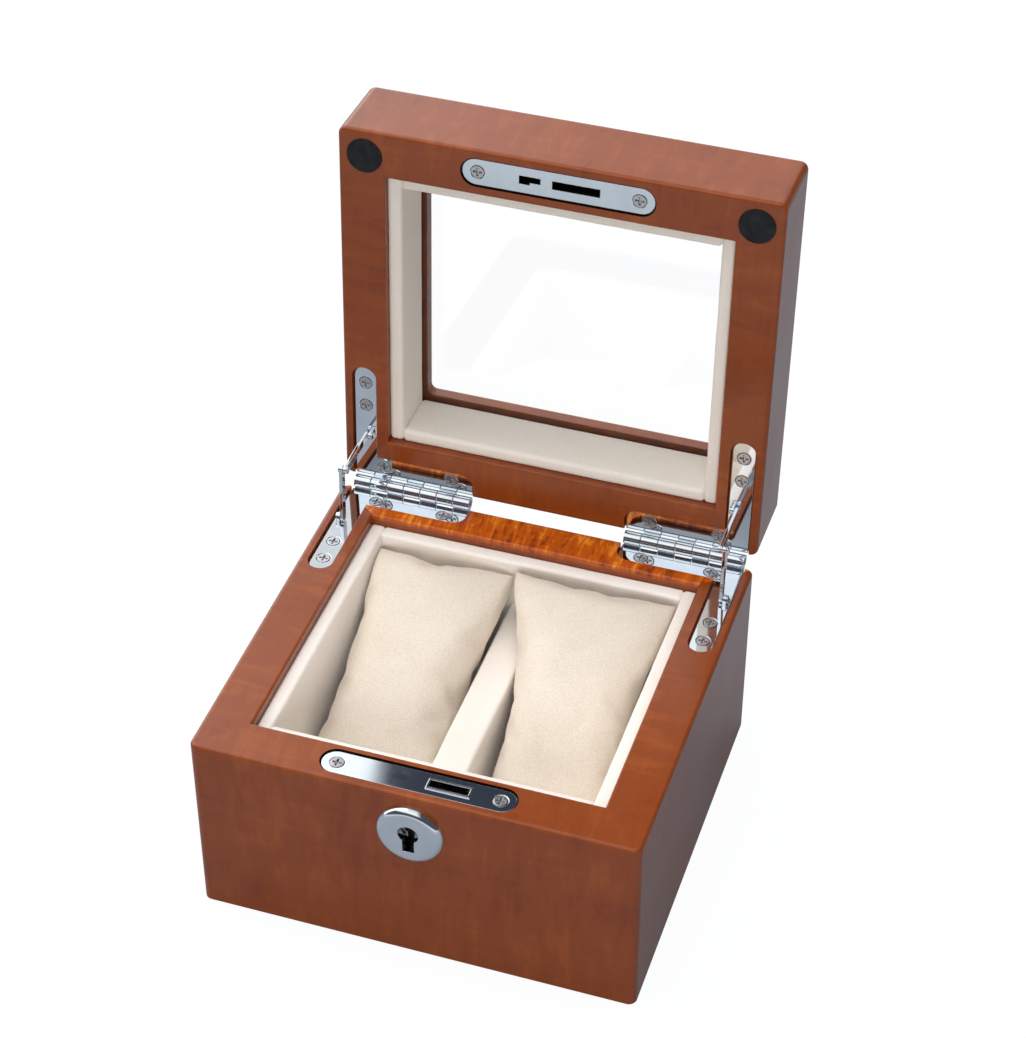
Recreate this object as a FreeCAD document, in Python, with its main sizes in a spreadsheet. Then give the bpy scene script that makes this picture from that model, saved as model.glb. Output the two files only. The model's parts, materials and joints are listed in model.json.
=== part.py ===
import FreeCAD, Part
import os
import re

# Watch box: a wooden base and a glazed lid on side-rail hinges, with a lock and two pillows.
# The front faces -Y, +X is to the right, and the origin is under the middle of the base.
# Lid pieces are drawn closed, then turned about the hinge axis to the angle they stand at.

SIZES = (
    # The box, in millimetres and degrees
    ("box_width", 160, "outside width"),
    ("box_depth", 148, "outside depth"),
    ("base_height", 77, "rim of the base above the table"),
    ("lid_height", 32.5, "thickness of the lid"),
    ("lid_gap", 0.7, "between the rim and the closed lid"),
    ("lid_angle", 93, "how far the lid stands open"),
    ("corner_radius", 3, "rounding of the upright outer edges"),
    ("edge_radius", 1.4, "rounding of the outer edges where base and lid meet"),
    ("lid_edge_radius", 2.4, "rounding of the lid's outer top edges"),
    ("rim_radius", 0.9, "rounding of the inner rim edges"),
    ("side_wall", 17, "thickness of the left and right walls"),
    ("front_wall", 16.5, "thickness of the front wall"),
    ("back_wall", 14.5, "thickness of the back wall"),
    ("bottom_thickness", 6, "bottom panel"),
    ("bottom_rebate", 6, "how far the bottom panel goes into the walls"),
    ("felt_thickness", 0.8, "felt under the base"),
    ("felt_inset", 5, "felt edge to the outside of the base"),
    # The lining of the base
    ("liner_thickness", 5.2, "padded liner boards"),
    ("liner_drop", 4, "top of the liners below the rim"),
    ("liner_radius", 1.6, "rounding of the liners' top edges"),
    ("floor_thickness", 11, "padded floor board"),
    ("divider_width", 13, "divider between the two places"),
    ("divider_height", 36, "divider above the floor board"),
    ("pillow_end_play", 4.3, "room in front of and behind a tilted pillow"),
    ("pillow_side_play", 1.15, "room at each side of a pillow"),
    ("pillow_thickness", 31, "pillow at its crown"),
    ("pillow_end", 8, "thickness of the pillow's sewn ends"),
    ("pillow_side", 16, "thickness of the pillow's sewn sides"),
    ("pillow_tilt", 24.5, "slope of the pillow, back end up"),
    ("seat_gap", 0.3, "between a pillow and the floor it rests on"),
    # The lid
    ("lid_side_rail", 17, "width of the lid's left and right rails"),
    ("lid_end_rail", 17.5, "width of the lid's front and back rails"),
    ("glass_depth", 25, "inner face of the lid to the glass"),
    ("glass_thickness", 3, "window glass"),
    ("glass_play", 0.3, "room around the glass"),
    ("lid_liner_thickness", 5, "padded strips around the window"),
    ("lid_liner_drop", 3, "edge of the strips below the lid's inner face"),
    ("lip_reach", 1.3, "how far the wooden lip shows inside the strips"),
    ("lip_radius", 2.5, "corners of the lip's opening"),
    ("bumper_radius", 6.5, "black bumper discs"),
    ("bumper_inset", 9.8, "bumper centre to the outside of the lid"),
    ("bumper_thickness", 1.8, "bumper discs"),
    ("bumper_proud", 0.4, "how far the bumpers stand out of the lid"),
    # The hinges
    ("hinge_offset", 2.6, "hinge axis behind the back face"),
    ("barrel_radius", 2.5, "hinge knuckles"),
    ("barrel_length", 46, "all knuckles together"),
    ("barrel_inset", 4, "outer end of the barrel to the side of the box"),
    ("knuckle_gap", 0.3, "between two knuckles"),
    ("pin_radius", 1.1, "hinge pin"),
    ("running_fit", 0.05, "radial clearance of pins and rivets"),
    ("plate_thickness", 1.5, "hinge leaves"),
    ("plate_drop", 1.5, "face of the leaves below the wood"),
    ("plate_play", 0.6, "room around a plate in its recess"),
    ("arm_inset", 8, "middle of the side arms to the side of the box"),
    ("arm_width", 8.4, "side arms of the leaves"),
    ("arm_length", 48.5, "side arms from the back face to their ends"),
    ("back_arm_width", 9, "arms along the back"),
    ("arm_screw_near", 31.5, "first screw of a side arm from the back face"),
    ("arm_screw_far", 41.5, "second screw of a side arm from the back face"),
    ("back_screw_outer", 15, "outer screw of a back arm from the side"),
    ("back_screw_inner", 41.5, "inner screw of a back arm from the side"),
    ("back_screw_inset", 5, "screws of the back arms from the back face"),
    ("screw_head_radius", 2.5, "countersunk heads"),
    ("screw_head_depth", 1.2, "countersunk heads"),
    ("screw_radius", 1.1, "screw shanks"),
    ("screw_length", 8, "screw shanks below the head"),
    ("screw_head_play", 0.25, "room around a head in its countersink"),
    ("screw_slot", 0.7, "width of the cross recess"),
    ("screw_slot_depth", 0.7, "depth of the cross recess"),
    # The folding stays
    ("stay_reach", 22, "hinge axis to a stay's pivot, and pivot to knee"),
    ("link_thickness", 1.2, "stay links and their lugs"),
    ("link_width", 3, "stay links and their lugs"),
    ("link_gap", 0.3, "between links and lugs"),
    ("rivet_radius", 0.75, "stay rivets"),
    ("rivet_head_radius", 1.35, "heads of the stay rivets"),
    ("rivet_head", 0.5, "height of the rivet heads"),
    # The lock
    ("lock_inset", 8.7, "middle of the lock to the front face"),
    ("lock_plate_length", 69, "face plate and strike plate"),
    ("lock_plate_width", 10, "face plate and strike plate"),
    ("lock_plate_thickness", 1.2, "face plate and strike plate"),
    ("lock_plate_drop", 0.6, "face of these plates below the wood"),
    ("lock_screw_spacing", 58, "between the two screws of a plate"),
    ("slot_width", 3.2, "slots of the lock, front to back"),
    ("bolt_slot_start", 4, "left end of the face plate's slot"),
    ("bolt_slot_end", 18, "right end of the face plate's slot"),
    ("slot_lip_width", 0.8, "raised lip around that slot"),
    ("slot_lip_height", 0.45, "raised lip around that slot"),
    ("catch_slot_start", -2.1, "left end of the strike's long slot"),
    ("catch_slot_end", 15, "right end of the strike's long slot"),
    ("small_slot_start", -14, "left end of the strike's small slot"),
    ("small_slot_end", -6.3, "right end of the strike's small slot"),
    ("small_slot_notch", 0.9, "step in the small slot's edge"),
    ("catch_pocket_depth", 7.4, "pocket for the hook behind the strike"),
    ("catch_pocket_play", 0.8, "room around the strike's slots in that pocket"),
    ("key_drop", 15, "key axis below the rim"),
    ("case_width", 48, "lock case"),
    ("case_depth", 9, "lock case, front to back"),
    ("case_height", 30, "lock case below the face plate"),
    ("case_wall", 1.2, "lock case"),
    ("case_play", 0.3, "room around the lock case"),
    ("key_barrel_radius", 4.5, "key barrel"),
    ("key_bore_radius", 2.4, "hole in the front of the key barrel"),
    ("barrel_play", 0.4, "room around the key barrel in the wood"),
    ("journal_radius", 3, "back end of the key barrel"),
    ("barrel_setback", 0.4, "front of the key barrel behind the escutcheon"),
    ("keyway_width", 2.4, "keyway in the key barrel"),
    ("keyway_depth", 7, "keyway in the key barrel"),
    ("hook_inner", 18.8, "inner radius of the hook's curve"),
    ("hook_outer", 21.8, "outer radius of the hook's curve"),
    ("hook_thickness", 2, "hook"),
    ("hook_hub_radius", 7, "hook's hub on the key barrel"),
    ("hook_tip_angle", 35, "angle of the hook's tip, unlocked"),
    ("hook_tail_angle", -40, "angle of the hook's tail, unlocked"),
    ("hook_spoke_angle", 14, "angle that the hook's spoke covers"),
    ("escutcheon_radius", 12.2, "key plate on the front"),
    ("escutcheon_thickness", 3, "key plate on the front"),
    ("escutcheon_edge", 2.6, "rounding of its edge"),
    ("escutcheon_drop", 1.5, "its middle below the key axis"),
    ("keyhole_radius", 3.7, "round part of the keyhole"),
    ("keyhole_slot_width", 4.2, "lower part of the keyhole"),
    ("keyhole_slot_end", 8.2, "lower end of the keyhole below the key axis"),
    ("keyhole_play", 1.5, "room around the keyhole's slot in the wood behind it"),
)

KNUCKLES = 7                      # counted from the outer end; the even ones are the base's
SIDES = {"left": -1, "right": 1}
LEAVES = {"base": -1, "lid": 1}   # which side of the hinge axis a leaf lies on, lid closed
ALIASES = {alias for alias, value, meaning in SIZES}
SMALL = 0.01                      # tolerance when edges are picked by where they lie

# Places, as formulas of the sizes
half_width = "(box_width / 2)"
half_depth = "(box_depth / 2)"
inner_x = f"({half_width} - side_wall)"
inner_front = f"(front_wall - {half_depth})"
inner_back = f"({half_depth} - back_wall)"
bottom_top = "(felt_thickness + bottom_thickness)"
floor_top = f"({bottom_top} + floor_thickness)"
liner_top = "(base_height - liner_drop)"
place_outside = f"({inner_x} - liner_thickness)"
place_front = f"({inner_front} + liner_thickness)"
place_back = f"({inner_back} - liner_thickness)"
lid_face = "(base_height + lid_gap)"
lid_top = f"({lid_face} + lid_height)"
glass_low = f"({lid_face} + glass_depth)"
glass_high = f"({glass_low} + glass_thickness)"
window_x = f"({half_width} - lid_side_rail)"
window_y = f"({half_depth} - lid_end_rail)"
lip_inset = "(lid_liner_thickness + lip_reach)"
lip_x = f"({window_x} - {lip_inset})"
lip_y = f"({window_y} - {lip_inset})"
hinge_y = f"({half_depth} + hinge_offset)"
hinge_z = "(base_height + lid_gap / 2)"
barrel_end = f"({half_width} - barrel_inset)"
arm_x = f"({half_width} - arm_inset)"
leaf_face = "(lid_gap / 2 + plate_drop)"
leaf_back = f"({leaf_face} + plate_thickness)"
pivot_y = f"({hinge_y} - stay_reach)"
knee_y = f"({pivot_y} - stay_reach)"
layer_pitch = "(link_thickness + link_gap)"
layer_outside = f"({arm_x} + 2 * {layer_pitch} - link_gap / 2)"
lock_y = f"(lock_inset - {half_depth})"
key_z = "(base_height - key_drop)"
face_plate_high = "(base_height - lock_plate_drop)"
face_plate_low = f"({face_plate_high} - lock_plate_thickness)"
strike_low = f"({lid_face} + lock_plate_drop)"
strike_high = f"({strike_low} + lock_plate_thickness)"

doc = FreeCAD.newDocument("watch_box")
dims = doc.addObject("Spreadsheet::Sheet", "dims")
for row, (alias, value, meaning) in enumerate(SIZES, 1):
    dims.set(f"A{row}", meaning)
    dims.set(f"B{row}", str(value))
    dims.setAlias(f"B{row}", alias)
doc.recompute()

X_AXIS = FreeCAD.Vector(1, 0, 0)
Y_AXIS = FreeCAD.Vector(0, 1, 0)
Z_AXIS = FreeCAD.Vector(0, 0, 1)
AIM = {
    "x": FreeCAD.Rotation(Y_AXIS, 90),
    "y": FreeCAD.Rotation(X_AXIS, -90),
    "z": FreeCAD.Rotation(),
}
nodes = []


# Formulas and bindings

def in_sheet(formula):
    """The formula with each size's name pointed at the sheet."""
    return re.sub(r"[a-z_]+", lambda word: f"dims.{word[0]}" if word[0] in ALIASES else word[0], formula)


def bind(item, formulas):
    """Tie an object's properties to formulas of the sizes."""
    for name, formula in formulas.items():
        item.setExpression(name, in_sheet(formula))
    return item


def place(item, x="0", y="0", z="0"):
    """Tie an object's position to formulas."""
    return bind(item, {"Placement.Base.x": x, "Placement.Base.y": y, "Placement.Base.z": z})


def span(sign, near, far, middle="0"):
    """The stretch from near to far of a middle, on its low or high side, as (low, high)."""
    if sign > 0:
        return f"{middle} + {near}", f"{middle} + {far}"
    return f"{middle} - ({far})", f"{middle} - ({near})"


def around(middle, half):
    """The stretch of half a width to each side of a middle, as (low, high)."""
    return f"{middle} - {half}", f"{middle} + {half}"


# Solids

def block(x, y, z):
    """A block between (low, high) on each axis."""
    item = doc.addObject("Part::Box", "block")
    for size, axis, (low, high) in (("Length", "x", x), ("Width", "y", y), ("Height", "z", z)):
        bind(item, {size: f"{high} - ({low})", f"Placement.Base.{axis}": low})
    return item


def rod(along, radius, stretch, **middle):
    """A cylinder along one axis over (low, high), at its middle on the other two."""
    item = doc.addObject("Part::Cylinder", "rod")
    item.Placement.Rotation = AIM[along]
    low, high = stretch
    bind(item, {"Radius": radius, "Height": f"{high} - ({low})", f"Placement.Base.{along}": low})
    for axis, formula in middle.items():
        bind(item, {f"Placement.Base.{axis}": formula})
    return item


def fuse(*items):
    """One solid of several."""
    item = doc.addObject("Part::MultiFuse", "fuse")
    item.Shapes = items
    item.Refine = True
    return item


def common(*items):
    """What several solids have in common."""
    item = doc.addObject("Part::MultiCommon", "common")
    item.Shapes = items
    return item


def cut(base, *tools):
    """A solid less the tools, one after the other."""
    for tool in tools:
        item = doc.addObject("Part::Cut", "cut")
        item.Base = base
        item.Tool = tool
        base = item
    return base


def group(*items):
    """Several solids kept apart in one object."""
    item = doc.addObject("Part::Compound", "group")
    item.Links = items
    return item


# Edges to round, each told by its own bounds and those of the whole solid

def at_top(edge, whole):
    return edge.ZMin > whole.ZMax - SMALL


def at_bottom(edge, whole):
    return edge.ZMax < whole.ZMin + SMALL


def at_front(edge, whole):
    return edge.YMax < whole.YMin + SMALL


def at_back(edge, whole):
    return edge.YMin > whole.YMax - SMALL


def at_left(edge, whole):
    return edge.XMax < whole.XMin + SMALL


def at_right(edge, whole):
    return edge.XMin > whole.XMax - SMALL


def upright(edge, whole):
    return edge.ZLength > whole.ZLength - SMALL


def lengthwise(edge, whole):
    return max(edge.XLength, edge.YLength) > max(whole.XLength, whole.YLength) - SMALL


def rounded(base, radius, *tests):
    """A solid with the edges that pass every test rounded; the radius is a size's name."""
    doc.recompute()
    size = dims.get(radius)
    whole = base.Shape.BoundBox
    item = doc.addObject("Part::Fillet", "rounded")
    item.Base = base
    item.Edges = [
        (number, size, size)
        for number, edge in enumerate(base.Shape.Edges, 1)
        if all(test(edge.BoundBox, whole) for test in tests)
    ]
    return item


# Nodes

def node(label, item):
    """Name a finished piece and keep it for the export."""
    item.Label = label
    nodes.append(item)
    return item


def turned_up(item, y, z):
    """Turn a piece from closed to open about a left-right axis at (y, z)."""
    item.Placement.Rotation = FreeCAD.Rotation(X_AXIS, 1)
    return bind(item, {
        "Placement.Rotation.Angle": "-lid_angle",
        "Placement.Base.y": f"{y} - {y} * cos(lid_angle) - {z} * sin(lid_angle)",
        "Placement.Base.z": f"{z} + {y} * sin(lid_angle) - {z} * cos(lid_angle)",
    })


def lid_node(label, *items):
    """A finished piece of the lid, drawn closed and turned open with it."""
    return node(label, turned_up(group(*items), hinge_y, hinge_z))


# Screws, drawn once with the head's face at the origin and the shank pointing down

def screw_solid(play, head_play):
    head = bind(doc.addObject("Part::Cone", "head"), {
        "Radius1": f"screw_radius + {play}",
        "Radius2": f"screw_head_radius + {head_play}",
        "Height": "screw_head_depth",
        "Placement.Base.z": "-screw_head_depth",
    })
    shank_low = f"-screw_head_depth - screw_length - {play}"
    return fuse(head, rod("z", f"screw_radius + {play}", (shank_low, "-screw_head_depth")))


def cross_recess():
    depth = ("-screw_slot_depth", "0")
    half_slot = around("0", "screw_slot / 2")
    half_head = around("0", "screw_head_radius * 0.65")
    return fuse(block(half_slot, half_head, depth), block(half_head, half_slot, depth))


screw = cut(screw_solid("0", "0"), cross_recess())
screw_hole = screw_solid("running_fit", "screw_head_play")


def copies(master, spots, up):
    """Copies of a screw or its hole at (x, y, z), turned over for the lid."""
    links = []
    for x, y, z in spots:
        link = doc.addObject("App::Link", "copy")
        link.LinkedObject = master
        if up > 0:
            link.Placement.Rotation = FreeCAD.Rotation(X_AXIS, 180)
        links.append(place(link, x, y, z))
    return group(*links)


def leaf_screw_spots(up):
    """Where the four screws of each hinge leaf go."""
    z = f"{hinge_z} + {up} * {leaf_face}"
    spots = []
    for side in SIDES.values():
        for distance in ("arm_screw_near", "arm_screw_far"):
            spots.append((f"{side} * {arm_x}", f"{half_depth} - {distance}", z))
        for distance in ("back_screw_outer", "back_screw_inner"):
            spots.append((f"{side} * ({half_width} - {distance})", f"{half_depth} - back_screw_inset", z))
    return spots


def lock_screw_spots(z):
    return [(f"{side} * lock_screw_spacing / 2", lock_y, z) for side in SIDES.values()]


# Hinge leaves

def leaf_outline(side, z, grow="0"):
    """An L-shaped plate along the side and the back, its front ends round."""
    half_arm = f"(arm_width / 2 + {grow})"
    arm_end = f"({half_depth} - arm_length + arm_width / 2)"
    back_middle = f"({half_depth} - back_arm_width / 2)"
    tail = f"({barrel_end} - barrel_length + back_arm_width / 2)"
    outside = f"({arm_x} + {half_arm})"
    return fuse(
        block(span(side, f"({arm_x} - {half_arm})", outside), (arm_end, half_depth), z),
        rod("z", half_arm, z, x=f"{side} * {arm_x}", y=arm_end),
        block(span(side, tail, outside), (f"{half_depth} - back_arm_width - {grow}", half_depth), z),
        rod("z", f"back_arm_width / 2 + {grow}", z, x=f"{side} * {tail}", y=back_middle),
        block(span(side, f"({barrel_end} - barrel_length - {grow})", tail), (back_middle, half_depth), z),
    )


def knuckle_stretch(side, number):
    pitch = f"barrel_length / {KNUCKLES}"
    near = f"({barrel_end} - {number + 1} * {pitch} + knuckle_gap / 2)"
    far = f"({barrel_end} - {number} * {pitch} - knuckle_gap / 2)"
    return span(side, near, far)


def layer_stretch(side, first, last):
    """From the outside of one layer of the stay to the inside of another, layer 0 outermost."""
    near = f"({layer_outside} - {last} * {layer_pitch} - link_thickness)"
    far = f"({layer_outside} - {first} * {layer_pitch})"
    return span(side, near, far)


def stay_lug(side, up, layer):
    """The ear on a leaf that carries one end of the stay."""
    x = layer_stretch(side, layer, layer)
    foot = span(up, "0", f"({leaf_face} + plate_thickness / 2)", hinge_z)
    return fuse(
        block(x, around(pivot_y, "link_width / 2"), foot),
        rod("x", "link_width / 2", x, y=pivot_y, z=hinge_z),
    )


def hinge_leaf(side, up, holes):
    """A leaf with its plate, every other knuckle and the stay's lug, closed."""
    z = span(up, leaf_face, leaf_back, hinge_z)
    layer = 0 if up < 0 else 3
    root = f"{half_depth} - back_arm_width / 2"
    pieces = [leaf_outline(side, z), stay_lug(side, up, layer)]
    for number in range(0 if up < 0 else 1, KNUCKLES, 2):
        x = knuckle_stretch(side, number)
        pieces.append(block(x, (root, hinge_y), z))
        pieces.append(rod("x", "barrel_radius", x, y=hinge_y, z=hinge_z))
    bore = rod("x", "pin_radius + running_fit", barrel_stretch(side), y=hinge_y, z=hinge_z)
    lug_x = layer_stretch(side, layer, layer)
    rivet_hole = rod("x", "rivet_radius + running_fit", lug_x, y=pivot_y, z=hinge_z)
    return cut(fuse(*pieces), bore, rivet_hole, holes)


def barrel_stretch(side):
    return span(side, f"({barrel_end} - barrel_length)", barrel_end)


# Wooden frames

def parted(ring, outer, inner, z):
    """The four boards of a ring, parted along its mitres between two (half width, front, back) frames."""
    low, high = z
    outer_half, outer_front, outer_back = outer
    inner_half, inside_front, inside_back = inner
    width = around("0", outer_half)
    narrow = around("0", inner_half)
    depth = (outer_front, outer_back)
    shallow = (inside_front, inside_back)
    outlines = {
        "front": (0, (outer_front, inside_front), width, narrow),
        "back": (0, (inside_back, outer_back), narrow, width),
        "left": (90, (inner_half, outer_half), shallow, depth),
        "right": (90, (f"-{outer_half}", f"-{inner_half}"), depth, shallow),
    }
    boards = {}
    for name, (turn, across, near, far) in outlines.items():
        wedge = doc.addObject("Part::Wedge", "wedge")
        wedge.Placement.Rotation = FreeCAD.Rotation(Z_AXIS, turn)
        bind(wedge, {
            "Xmin": near[0], "Xmax": near[1], "X2min": far[0], "X2max": far[1],
            "Ymin": across[0], "Ymax": across[1],
            "Zmin": low, "Zmax": high, "Z2min": low, "Z2max": high,
        })
        boards[name] = common(ring, wedge)
    return boards


INNER_EDGES = {"front": at_back, "back": at_front, "left": at_right, "right": at_left}


def rim_rounded(boards, rim):
    """Boards with the inner edge of their rim rounded."""
    return {name: rounded(board, "rim_radius", INNER_EDGES[name], rim) for name, board in boards.items()}


def outer_block(z):
    """A block of the box's outline with its upright edges rounded."""
    sides = block((f"-{half_width}", half_width), (f"-{half_depth}", half_depth), z)
    return rounded(sides, "corner_radius", upright)


def stadium(z, grow="0"):
    """The outline of the lock's plates, with round ends."""
    reach = "(lock_plate_length / 2 - lock_plate_width / 2)"
    radius = f"(lock_plate_width / 2 + {grow})"
    return fuse(
        block((f"-{reach}", reach), around(lock_y, radius), z),
        rod("z", radius, z, x=f"-{reach}", y=lock_y),
        rod("z", radius, z, x=reach, y=lock_y),
    )


def keyhole(y, radius, play="0"):
    """A round hole on the key axis with a slot below it."""
    slot_height = (f"{key_z} - keyhole_slot_end - {play}", key_z)
    return fuse(
        rod("y", radius, y, x="0", z=key_z),
        block(around("0", f"(keyhole_slot_width / 2 + {play})"), y, slot_height),
    )


# The base: walls, bottom and felt
hinge_holes = {name: copies(screw_hole, leaf_screw_spots(up), up) for name, up in LEAVES.items()}
base_stretch = ("felt_thickness", "base_height")
base_outside = rounded(outer_block(base_stretch), "edge_radius", at_top)
base_opening = block((f"-{inner_x}", inner_x), (inner_front, inner_back), base_stretch)
panel_x = around("0", f"({inner_x} + bottom_rebate)")
panel_y = (f"{inner_front} - bottom_rebate", f"{inner_back} + bottom_rebate")
panel_z = ("felt_thickness", bottom_top)
base_ring = cut(base_outside, base_opening, block(panel_x, panel_y, panel_z))
outer_frame = (half_width, f"-{half_depth}", half_depth)
walls = rim_rounded(parted(base_ring, outer_frame, (inner_x, inner_front, inner_back), base_stretch), at_top)

leaf_recess_z = (f"{hinge_z} - {leaf_back}", lid_face)
leaf_recess = group(*[leaf_outline(side, leaf_recess_z, "plate_play") for side in SIDES.values()])
for name in ("back", "left", "right"):
    node(f"{name}_wall", cut(walls[name], leaf_recess, hinge_holes["base"]))

case_x = around("0", "case_width / 2")
case_y = around(lock_y, "case_depth / 2")
case_z = (f"{face_plate_low} - case_height", face_plate_low)
lock_holes = copies(screw_hole, lock_screw_spots(face_plate_high), -1)
front_wall = cut(
    walls["front"],
    stadium((face_plate_low, lid_face), "plate_play"),
    block(around("0", "(case_width / 2 + case_play)"), around(lock_y, "(case_depth / 2 + case_play)"),
          (f"{case_z[0]} - case_play", "base_height")),
    keyhole((f"-{half_depth}", lock_y), "key_barrel_radius + barrel_play", "keyhole_play"),
    lock_holes,
)
node("front_wall", front_wall)
node("bottom_panel", block(panel_x, panel_y, panel_z))
felt_x = around("0", f"({half_width} - felt_inset)")
felt_y = around("0", f"({half_depth} - felt_inset)")
node("base_felt", block(felt_x, felt_y, ("0", "felt_thickness")))

# The lining of the base
floor_x = around("0", inner_x)
node("floor_pad", block(floor_x, (inner_front, inner_back), (bottom_top, floor_top)))
liner_z = (floor_top, liner_top)
between_liners = around("0", place_outside)
for name, side in SIDES.items():
    board = block(span(side, place_outside, inner_x), (inner_front, inner_back), liner_z)
    node(f"liner_{name}", rounded(board, "liner_radius", at_top, lengthwise))
for name, y in (("front", (inner_front, place_front)), ("back", (place_back, inner_back))):
    node(f"liner_{name}", rounded(block(between_liners, y, liner_z), "liner_radius", at_top, lengthwise))
divider_z = (floor_top, f"{floor_top} + divider_height")
divider = block(around("0", "divider_width / 2"), (place_front, place_back), divider_z)
node("divider", rounded(divider, "liner_radius", at_top, lengthwise))


# The pillows, crowned both ways, one end on the floor
footprint = f"({place_back} - {place_front} - 2 * pillow_end_play)"
pillow_length = f"(({footprint} - pillow_end * sin(pillow_tilt)) / cos(pillow_tilt))"
pillow_width = f"({place_outside} - divider_width / 2 - 2 * pillow_side_play)"


def crown_radius(across, edge):
    """The radius of an arc that crowns the pillow from its edge's thickness to the full one."""
    rise = f"((pillow_thickness - {edge}) / 2)"
    return f"(({across} ^ 2 / 4 + {rise} ^ 2) / (2 * {rise}))"


def crown_rods(along, other, length, radius):
    """Two cylinders that have a lens as thick as the pillow in common."""
    stretch = around("0", f"{length} / 2")
    drop = f"({radius} - pillow_thickness / 2)"
    return [rod(along, radius, stretch, z=f"{sign} * {drop}", **{other: "0"}) for sign in (-1, 1)]


end_radius = crown_radius(pillow_length, "pillow_end")
side_radius = crown_radius(pillow_width, "pillow_side")
end_rods = crown_rods("x", "y", pillow_width, end_radius)
side_rods = crown_rods("y", "x", pillow_length, side_radius)
pillow_x = f"({place_outside} + divider_width / 2) / 2"
pillow_y = f"({place_front} + {place_back}) / 2 - seat_gap"
pillow_z = f"{floor_top} + seat_gap + {end_radius} - ({end_radius} - pillow_thickness / 2) * cos(pillow_tilt)"
for name, side in SIDES.items():
    pillow = node(f"watch_pillow_{name}", common(*end_rods, *side_rods))
    pillow.Placement.Rotation = FreeCAD.Rotation(X_AXIS, 1)
    bind(pillow, {"Placement.Rotation.Angle": "pillow_tilt"})
    place(pillow, f"{side} * {pillow_x}", pillow_y, pillow_z)

# The lid: rails, glass, strips and bumpers
lid_stretch = (lid_face, lid_top)
lid_outside = rounded(outer_block(lid_stretch), "edge_radius", at_bottom)
lid_outside = rounded(lid_outside, "lid_edge_radius", at_top)
lid_opening = block(around("0", window_x), around("0", window_y), lid_stretch)
lip_stretch = (glass_high, lid_top)
lip_opening = rounded(block(around("0", lip_x), around("0", lip_y), lip_stretch), "lip_radius", upright)
lip_ring = cut(block(around("0", window_x), around("0", window_y), lip_stretch), lip_opening)
window_frame = (window_x, f"-{window_y}", window_y)
lip_frame = (f"({lip_x} - lip_radius)", f"-({lip_y} - lip_radius)", f"({lip_y} - lip_radius)")
rails = rim_rounded(parted(cut(lid_outside, lid_opening), outer_frame, window_frame, lid_stretch), at_bottom)
lips = parted(lip_ring, window_frame, lip_frame, lip_stretch)
rails = {name: fuse(rail, lips[name]) for name, rail in rails.items()}

bumper_z = (f"{lid_face} - bumper_proud", f"{lid_face} - bumper_proud + bumper_thickness")
bumper_y = f"bumper_inset - {half_depth}"


def bumper(side, play):
    bumper_x = f"{side} * ({half_width} - bumper_inset)"
    return rod("z", f"bumper_radius + {play}", bumper_z, x=bumper_x, y=bumper_y)


lid_recess_z = ("base_height", f"{hinge_z} + {leaf_back}")
lid_recess = group(*[leaf_outline(side, lid_recess_z, "plate_play") for side in SIDES.values()])
bumper_seats = group(*[bumper(side, "running_fit") for side in SIDES.values()])
strike_holes = copies(screw_hole, lock_screw_spots(strike_low), 1)
catch_pocket = block(
    ("small_slot_start - catch_pocket_play", "catch_slot_end + catch_pocket_play"),
    around(lock_y, "(slot_width / 2 + catch_pocket_play)"),
    (lid_face, f"{lid_face} + catch_pocket_depth"),
)
strike_recess = stadium(("base_height", strike_high), "plate_play")
lid_node("lid_front_rail", cut(rails["front"], bumper_seats, strike_recess, catch_pocket, strike_holes))
lid_node("lid_back_rail", cut(rails["back"], lid_recess, hinge_holes["lid"]))
for name in SIDES:
    lid_node(f"lid_{name}_rail", cut(rails[name], lid_recess, hinge_holes["lid"], bumper_seats))

glass_x = around("0", f"({window_x} - glass_play)")
glass_y = around("0", f"({window_y} - glass_play)")
lid_node("window_glass", block(glass_x, glass_y, (glass_low, glass_high)))
strip_z = (f"{lid_face} + lid_liner_drop", glass_low)
strip_inside = f"({window_x} - lid_liner_thickness)"
for name, side in SIDES.items():
    strip = block(span(side, strip_inside, window_x), around("0", window_y), strip_z)
    lid_node(f"lid_liner_{name}", rounded(strip, "liner_radius", at_bottom, lengthwise))
for name, sign in (("front", -1), ("back", 1)):
    y = span(sign, f"({window_y} - lid_liner_thickness)", window_y)
    strip = block(around("0", strip_inside), y, strip_z)
    lid_node(f"lid_liner_{name}", rounded(strip, "liner_radius", at_bottom, lengthwise))
for name, side in SIDES.items():
    lid_node(f"lid_bumper_{name}", bumper(side, "0"))

# The hinges
for name, side in SIDES.items():
    node(f"hinge_{name}_base_leaf", hinge_leaf(side, -1, hinge_holes["base"]))
    lid_node(f"hinge_{name}_lid_leaf", hinge_leaf(side, 1, hinge_holes["lid"]))
    node(f"hinge_{name}_pin", rod("x", "pin_radius", barrel_stretch(side), y=hinge_y, z=hinge_z))
node("hinge_base_screws", copies(screw, leaf_screw_spots(-1), -1))
lid_node("hinge_lid_screws", copies(screw, leaf_screw_spots(1), 1))


# The folding stays: two links of one length, so that pivots and knee stay a rhombus
def stay_link(side, layer):
    """A link from its pivot forward to the knee, closed."""
    x = layer_stretch(side, layer, layer)
    pieces = [block(x, (knee_y, pivot_y), around(hinge_z, "link_width / 2"))]
    holes = []
    for y in (knee_y, pivot_y):
        pieces.append(rod("x", "link_width / 2", x, y=y, z=hinge_z))
        holes.append(rod("x", "rivet_radius + running_fit", x, y=y, z=hinge_z))
    return cut(fuse(*pieces), *holes)


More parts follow.
